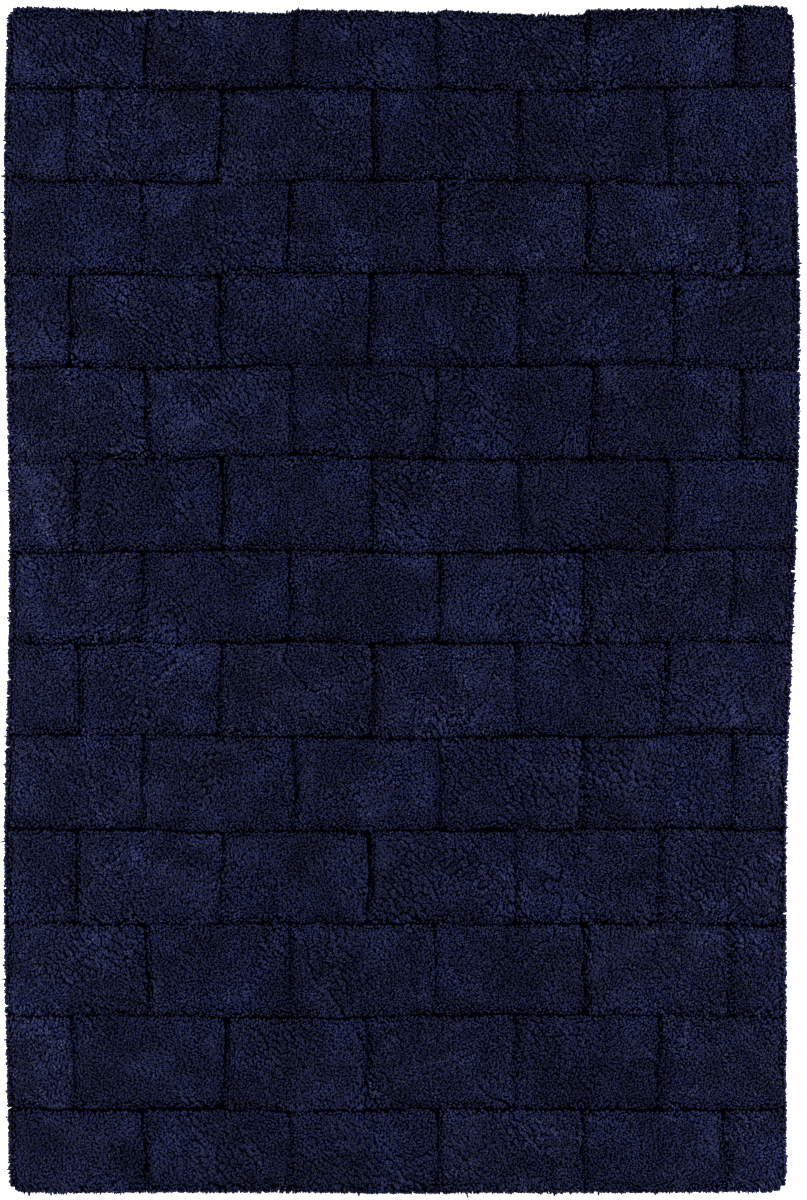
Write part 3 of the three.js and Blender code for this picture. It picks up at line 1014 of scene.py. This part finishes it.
def pile_material():
    """Navy cotton: its colour changes at random with each yarn end; up along it, it is painted as
    shade, darker and bluer towards the roots, and as highlight, lighter and greyer at the tips; and
    it has painted light and dark patches for the sheen and shade of the pile's lay.
    """
    material, tree, surface, place = textured("cotton_pile")
    tone = node(tree, "ShaderNodeAttribute", attribute_name="tone").outputs["Fac"]
    rise = node(tree, "ShaderNodeAttribute", attribute_name="rise").outputs["Fac"]
    yarn = ramp(tree, tone, [
        (0.0, (0.0043, 0.0077, 0.0448)),
        (0.4, (0.0071, 0.0106, 0.0580)),
        (0.75, (0.0144, 0.0185, 0.0812)),
        (1.0, (0.0468, 0.0504, 0.1380)),
    ])
    # painted shade: darker and bluer down towards the roots and in the grooves, and a painted
    # highlight that leaves the tips a little lighter and greyer
    painted_root_shade = ramp(tree, rise, [
        (0.0, (0.06, 0.055, 0.28)),
        (0.35, (0.30, 0.30, 0.50)),
        (0.6, (0.88, 0.88, 0.80)),
        (1.0, (1.03, 1.03, 0.89)),
    ])
    # painted sheen and shade: light, greener patches and dark patches over the mat, for the way the
    # lay of the pile catches the light
    painted_lay_sheen = ramp(tree, speckle(tree, place, PATCH_SIZE, 3.0), [
        (0.3, (0.49, 0.50, 0.535)),
        (0.5, (0.755, 0.78, 0.82)),
        (0.7, (1.27, 1.36, 1.34)),
    ])
    coloured(tree, surface, times(tree, times(tree, yarn, painted_root_shade), painted_lay_sheen))
    bump(tree, surface, speckle(tree, place, FIBRE_SIZE), FIBRE_DEPTH, 0.5)
    set_values(surface, {
        "Roughness": 0.62,
        "Specular IOR Level": 0.1,
        "Sheen Weight": 0.03,
        "Sheen Roughness": 0.5,
        "Sheen Tint": (0.75, 0.85, 1.0, 1.0),
    })
    return material


def weave_height(tree, place, pitch):
    """Plain weave: warp and weft take turns on top."""
    warp = bands(tree, place, "X", pitch)
    weft = bands(tree, place, "Y", pitch)
    turns = node(tree, "ShaderNodeTexChecker", {"Vector": place, "Scale": 1.0 / pitch})
    over = calc(tree, "MULTIPLY", warp, turns.outputs["Fac"])
    under = calc(tree, "MULTIPLY", weft, calc(tree, "SUBTRACT", 1.0, turns.outputs["Fac"]))
    return calc(tree, "ADD", over, under)


WEAVE_PITCH = 0.0011
WEAVE_DEPTH = 0.0002
FADED_SIZE = 0.012
FUZZ_SIZE = 0.0004
FUZZ_SHARE = 0.35


def weave_material():
    material, tree, surface, place = textured("navy_weave")
    height = weave_height(tree, place, WEAVE_PITCH)
    # painted shade: the threads are painted darker where they dip under their neighbours, and
    # lighter where they lie on top
    threads_and_weave_shade = ramp(tree, height, [(0.1, (0.0030, 0.0042, 0.018)), (0.9, (0.0150, 0.0190, 0.066))])
    faded = speckle(tree, place, FADED_SIZE, 4.0)
    uneven = ramp(tree, faded, [(0.3, (0.75, 0.76, 0.8)), (0.7, (1.25, 1.24, 1.2))])
    coloured(tree, surface, times(tree, threads_and_weave_shade, uneven))
    fuzz = calc(tree, "MULTIPLY", speckle(tree, place, FUZZ_SIZE), FUZZ_SHARE)
    bump(tree, surface, calc(tree, "ADD", height, fuzz), WEAVE_DEPTH)
    set_values(surface, {
        "Roughness": 0.88,
        "Specular IOR Level": 0.3,
        "Sheen Weight": 0.1,
        "Sheen Roughness": 0.5,
    })
    return material


TWIST_PITCH = 0.0005
TWIST_DEPTH = 0.00006


def thread_material():
    material, tree, surface, place = textured("navy_thread")
    twist = bands(tree, place, "DIAGONAL", TWIST_PITCH)
    # painted shade: the thread is painted darker in the hollows of its twist and lighter on its
    # raised plies
    colour = ramp(tree, twist, [(0.2, (0.0060, 0.0080, 0.034)), (0.9, (0.0230, 0.0280, 0.092))])
    coloured(tree, surface, colour)
    bump(tree, surface, twist, TWIST_DEPTH)
    set_values(surface, {"Roughness": 0.5, "Sheen Weight": 0.15})
    return material


TUFT_PITCH = 0.0032  # from one tuft back to the next along a row
POOL_SIZE = 0.03
GRAIN_SIZE = 0.0012
GRAIN_SHARE = 0.4
LATEX_DEPTH = 0.00025


def latex_material():
    """Milky latex over rows of tuft backs: navy shows faintly where the coat is thin."""
    material, tree, surface, place = textured("latex")
    rows = bands(tree, place, "X", ROW_PITCH * MM, 0.6)
    tufts = bands(tree, place, "Y", TUFT_PITCH, 1.5)
    backs = calc(tree, "MULTIPLY", rows, tufts)
    pools = speckle(tree, place, POOL_SIZE, 5.0)
    grain = speckle(tree, place, GRAIN_SIZE, 3.0)
    thin = ramp(tree, pools, [(0.35, (0.25,) * 3), (0.7, (1.0,) * 3)])
    coat = ramp(tree, calc(tree, "MULTIPLY", backs, thin), [
        (0.0, (0.55, 0.53, 0.475)),
        (0.45, (0.44, 0.43, 0.40)),
        (0.9, (0.20, 0.205, 0.235)),
    ])
    uneven = ramp(tree, grain, [(0.3, (0.9, 0.9, 0.88)), (0.7, (1.08, 1.08, 1.07))])
    coloured(tree, surface, times(tree, coat, uneven))
    rough = node(tree, "ShaderNodeMapRange", {
        "Value": pools, "From Min": 0.3, "From Max": 0.7, "To Min": 0.42, "To Max": 0.62,
    })
    tree.links.new(rough.outputs["Result"], surface.inputs["Roughness"])
    height = calc(tree, "ADD", backs, calc(tree, "MULTIPLY", grain, GRAIN_SHARE))
    bump(tree, surface, height, LATEX_DEPTH)
    return material


RIB_PITCH = 0.0003
RIB_DEPTH = 0.00004


def label_material():
    material, tree, surface, place = textured("white_satin")
    ribs = bands(tree, place, "Y", RIB_PITCH)
    # painted shade: the satin is painted darker in the hollows between its ribs and lighter on
    # their crests
    colour = ramp(tree, ribs, [(0.1, (0.70, 0.69, 0.66)), (0.9, (0.84, 0.83, 0.80))])
    coloured(tree, surface, colour)
    bump(tree, surface, ribs, RIB_DEPTH)
    set_values(surface, {"Roughness": 0.38, "Sheen Weight": 0.2})
    return material


# -------- camera, floor and light

VIEW_MIDDLE = (0.0034, -0.0015)
VIEW_LENGTH = 0.9162  # how much of the mat's long way is in the picture
CAMERA_HEIGHT = 4.0
SENSOR = 36.0
FAR_CLIP = 50.0


def make_camera():
    data = bpy.data.cameras.new("camera")
    data.sensor_width = SENSOR
    data.lens = SENSOR * (CAMERA_HEIGHT - PILE_TOP * MM) / VIEW_LENGTH
    data.clip_end = FAR_CLIP
    camera = bpy.data.objects.new("camera", data)
    camera.location = (*VIEW_MIDDLE, CAMERA_HEIGHT)
    bpy.context.scene.collection.objects.link(camera)
    bpy.context.scene.camera = camera


def make_light(name, place, size, power):
    """A soft box aimed at the middle of the mat. size is its level side and its other side."""
    data = bpy.data.lights.new(name, "AREA")
    data.shape = "RECTANGLE"
    data.size, data.size_y = size
    data.energy = power
    light = bpy.data.objects.new(name, data)
    light.location = place
    light.rotation_euler = (-Vector(place)).to_track_quat("-Z", "Y").to_euler()
    bpy.context.scene.collection.objects.link(light)


FLOOR_HALF = 10.0
FLOOR_DROP = 0.0005  # below the mat
FLOOR_COLOUR = (0.9, 0.9, 0.9, 1.0)
FLOOR_GLOW = 0.55  # as if lit from below as well
BACKDROP_RADIUS = 9.8  # beyond any camera round the mat
BACKDROP_HEIGHT = 6.0
BACKDROP_SIDES = 48
BACKDROP_COLOUR = (0.83, 0.83, 0.84, 1.0)


def stage_piece(name, corners, faces, material):
    mesh = bpy.data.meshes.new(name)
    mesh.from_pydata(corners, [], faces)
    mesh.materials.append(material)
    made = bpy.data.objects.new(name, mesh)
    bpy.context.scene.collection.objects.link(made)
    return made


def make_stage():
    """A pale floor, and a pale round wall that fills the picture but sheds no light."""
    material, _, surface = shader("floor")
    set_values(surface, {
        "Base Color": FLOOR_COLOUR,
        "Roughness": 0.9,
        "Emission Color": (1.0, 1.0, 1.0, 1.0),
        "Emission Strength": FLOOR_GLOW,
    })
    h = FLOOR_HALF
    corners = [(-h, -h, 0.0), (h, -h, 0.0), (h, h, 0.0), (-h, h, 0.0)]
    floor = stage_piece("floor", corners, [(0, 1, 2, 3)], material)
    floor.location.z = -FLOOR_DROP

    material, _, surface = shader("wall")
    set_values(surface, {
        "Base Color": (0.0, 0.0, 0.0, 1.0),
        "Specular IOR Level": 0.0,
        "Emission Color": BACKDROP_COLOUR,
        "Emission Strength": 1.0,
    })
    n = BACKDROP_SIDES
    turns = [2 * math.pi * i / n for i in range(n)]
    ring = [(BACKDROP_RADIUS * math.cos(t), BACKDROP_RADIUS * math.sin(t)) for t in turns]
    corners = [(x, y, 0.0) for x, y in ring] + [(x, y, BACKDROP_HEIGHT) for x, y in ring]
    faces = [(i, (i + 1) % n, n + (i + 1) % n, n + i) for i in range(n)]
    wall = stage_piece("wall", corners, faces, material)
    wall.visible_diffuse = False
    wall.visible_glossy = False
    wall.visible_shadow = False


WORLD_COLOUR = (0.96, 0.98, 1.0, 1.0)
WORLD_STRENGTH = 0.14
# soft boxes: place, size and power
LIGHTS = {
    "key": ((1.6, 2.0, 1.4), (1.1, 1.1), 65.0),
    "right": ((0.62, 0.0, 0.30), (1.4, 0.25), 11.0),
    "left": ((-0.62, 0.0, 0.30), (1.4, 0.25), 13.0),
    "front": ((0.0, -0.9, 0.36), (0.8, 0.4), 4.0),
}


def make_studio():
    world = bpy.data.worlds.new("studio")
    world.use_nodes = True
    values = {"Color": WORLD_COLOUR, "Strength": WORLD_STRENGTH}
    set_values(world.node_tree.nodes["Background"], values)
    bpy.context.scene.world = world
    for name, (place, size, power) in LIGHTS.items():
        make_light(name, place, size, power)
    bpy.context.scene.view_settings.view_transform = "Standard"


make_camera()
make_stage()
make_studio()
make_pile(pile_material())
make_underside()
